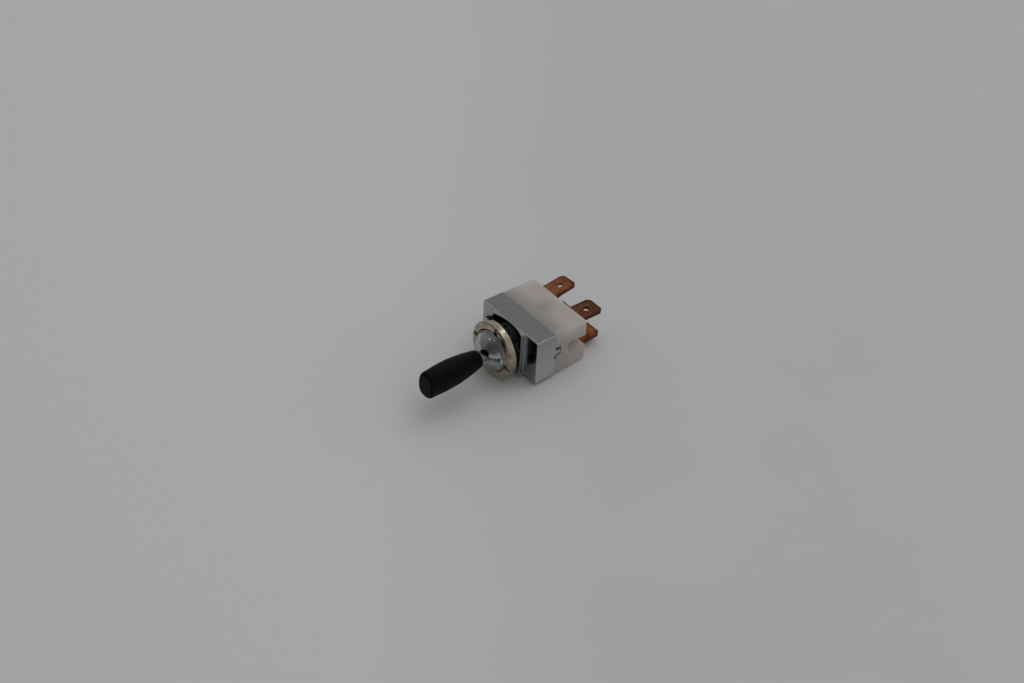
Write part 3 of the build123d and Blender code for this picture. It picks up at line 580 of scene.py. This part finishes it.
# ------------------------------------------------------------------ springs
# Each coil spring is copied as a smooth steel mesh in place of its part; the bodies named for its two ends are not
# used.
for node, held_by, pushed_by, lean in (
    ("detent_spring", "lever", "plunger", math.radians(3.5)),
    ("upper_bridge_spring", "slide", "upper_bridge", 0.0),
    ("lower_bridge_spring", "slide", "lower_bridge", 0.0),
):
    wire = clean_copy(node)
    coil = bpy.data.objects.new(node + "_coil", wire)
    bpy.context.scene.collection.objects.link(coil)
    for poly in wire.polygons:
        poly.use_smooth = True
    wire.set_sharp_from_angle(angle=math.radians(32))
    wire.materials.clear()
    wire.materials.append(M_steel)
    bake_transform(coil)
    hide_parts(node)

# ------------------------------------------------------------------ floor
# The switch lies on the ring nut's lowest edge and the base's rear under edge,
# so the floor is a plane tilted a little about X in the part's own frame.
TILT = math.atan2(0.0020886, 0.0210071)
touch = Vector((0, -0.0029944, -0.0083975 - 0.00001))
bm = bmesh.new()
S, n = 3.0, 8
grid = [[bm.verts.new(((i / n - 0.5) * 2 * S, (j / n - 0.5) * 2 * S, 0)) for j in range(n + 1)] for i in range(n + 1)]
for i in range(n):
    for j in range(n):
        bm.faces.new((grid[i][j], grid[i + 1][j], grid[i + 1][j + 1], grid[i][j + 1]))
me = bpy.data.meshes.new("floor")
bm.to_mesh(me)
bm.free()
floor = bpy.data.objects.new("floor", me)
bpy.context.scene.collection.objects.link(floor)
floor.matrix_world = Matrix.Translation(touch) @ Matrix.Rotation(TILT, 4, "X")
fm, nt, bs = mat("floor_paper")
v = coords(nt)
n1 = noise(nt, v, 0.02, 3, 0.5)
fx, fy, fz = split(nt, v)
paper_and_light = ramp(nt, n1, [(0.3, rgba(0.83, 0.83, 0.83)), (0.7, rgba(0.86, 0.86, 0.86))])
# painted light: the paper is lighter towards the left front
left = math_(nt, "ADD", math_(nt, "MULTIPLY", fx, -0.62), math_(nt, "MULTIPLY", fy, -0.78))
paper_and_light = mixc(nt, maprange(nt, left, -30.0, 30.0, 0.0, 1.0), paper_and_light, rgba(0.925, 0.925, 0.925))
nt.links.new(paper_and_light, bs.inputs["Base Color"])
bs.inputs["Roughness"].default_value = 0.8
bs.inputs["Specular IOR Level"].default_value = 0.2
floor.data.materials.append(fm)

# ------------------------------------------------------------------ camera
def camera_from_fit(az, el, roll, dist, tx, ty, dy, focal_px):
    a, e, r = math.radians(az), math.radians(el), math.radians(roll)
    back = Vector((math.sin(a) * math.cos(e), -math.cos(a) * math.cos(e), math.sin(e)))
    right = (-back).cross(Vector((0, 0, 1))).normalized()
    up = right.cross(-back)
    right, up = right * math.cos(r) + up * math.sin(r), up * math.cos(r) - right * math.sin(r)
    pos = (back * dist - right * tx - up * ty) / 1000.0 + Vector((0, dy / 1000.0, 0))
    m = Matrix((right, up, back)).transposed().to_4x4()
    m.translation = pos
    cam = bpy.data.cameras.new("camera")
    cam.sensor_width = 36.0
    cam.sensor_fit = "HORIZONTAL"
    cam.lens = 36.0 * focal_px / 1024.0
    cam.clip_start = 0.01
    cam.clip_end = 20
    cam.dof.use_dof = False
    ob = bpy.data.objects.new("camera", cam)
    ob.matrix_world = m
    bpy.context.scene.collection.objects.link(ob)
    bpy.context.scene.camera = ob
    return ob


CAM = (49.429, 39.077, 3.307, 627.825, -0.615, -0.027)
cam = camera_from_fit(*CAM, 1.4, 2296.0)

# ------------------------------------------------------------------ light
# Directions are given in the floor's frame: azimuth 0 is behind the switch (+Y),
# 90 is its right side (+X), and elevation is counted up from the floor.
F = floor.matrix_world.to_3x3()


def direction(az, el):
    a, e = math.radians(az), math.radians(el)
    return F @ Vector((math.sin(a) * math.cos(e), math.cos(a) * math.cos(e), math.sin(e)))


def area(name, az, el, dist, size, radiance, color=(1, 1, 1)):
    ld = bpy.data.lights.new(name, "AREA")
    ld.shape = "RECTANGLE"
    ld.size, ld.size_y = size
    ld.energy = radiance * math.pi * size[0] * size[1]
    ld.color = color
    ob = bpy.data.objects.new(name, ld)
    d = direction(az, el)
    ob.rotation_mode = "QUATERNION"
    ob.rotation_quaternion = d.to_track_quat("Z", "Y")
    ob.location = touch + d * dist
    bpy.context.scene.collection.objects.link(ob)
    return ob


area("ceiling_bounce", 0, 70, 1.0, (1.0, 0.60), 0.50)
area("lamp_left", -136, 56, 1.0, (0.10, 0.10), 2.2, (0.97, 0.99, 1.0))
area("lamp_right", 84, 56, 1.0, (0.10, 0.10), 2.6, (0.97, 0.99, 1.0))
area("lamp_back", -4, 56, 1.0, (0.14, 0.10), 2.0, (0.97, 0.99, 1.0))

world = bpy.data.worlds.new("world")
bpy.context.scene.world = world
world.use_nodes = True
wn = world.node_tree
bg = wn.nodes["Background"]
tc = wn.nodes.new("ShaderNodeTexCoord")


def toward(az, el, lo, hi, a, b):
    """A value that runs from a to b as the direction turns towards az, el."""
    dp = wn.nodes.new("ShaderNodeVectorMath")
    dp.operation = "DOT_PRODUCT"
    dp.inputs[1].default_value = direction(az, el)
    wn.links.new(tc.outputs["Generated"], dp.inputs[0])
    lv = wn.nodes.new("ShaderNodeMapRange")
    lv.interpolation_type = "SMOOTHSTEP"
    for k, x in zip(("From Min", "From Max", "To Min", "To Max"), (lo, hi, a, b)):
        lv.inputs[k].default_value = x
    wn.links.new(dp.outputs["Value"], lv.inputs["Value"])
    return lv.outputs["Result"]


# the room: lighter behind the switch, darker on the near side
product = wn.nodes.new("ShaderNodeMath")
product.operation = "MULTIPLY"
wn.links.new(toward(5, 0, -1.0, 1.0, 0.17, 0.50), product.inputs[0])
wn.links.new(toward(165, 34, 0.72, 0.97, 1.0, 0.45), product.inputs[1])
wn.links.new(product.outputs[0], bg.inputs[1])
bg.inputs[0].default_value = (1.0, 1.0, 1.0, 1)

bpy.context.scene.view_settings.view_transform = "Standard"
bpy.context.scene.view_settings.look = "None"
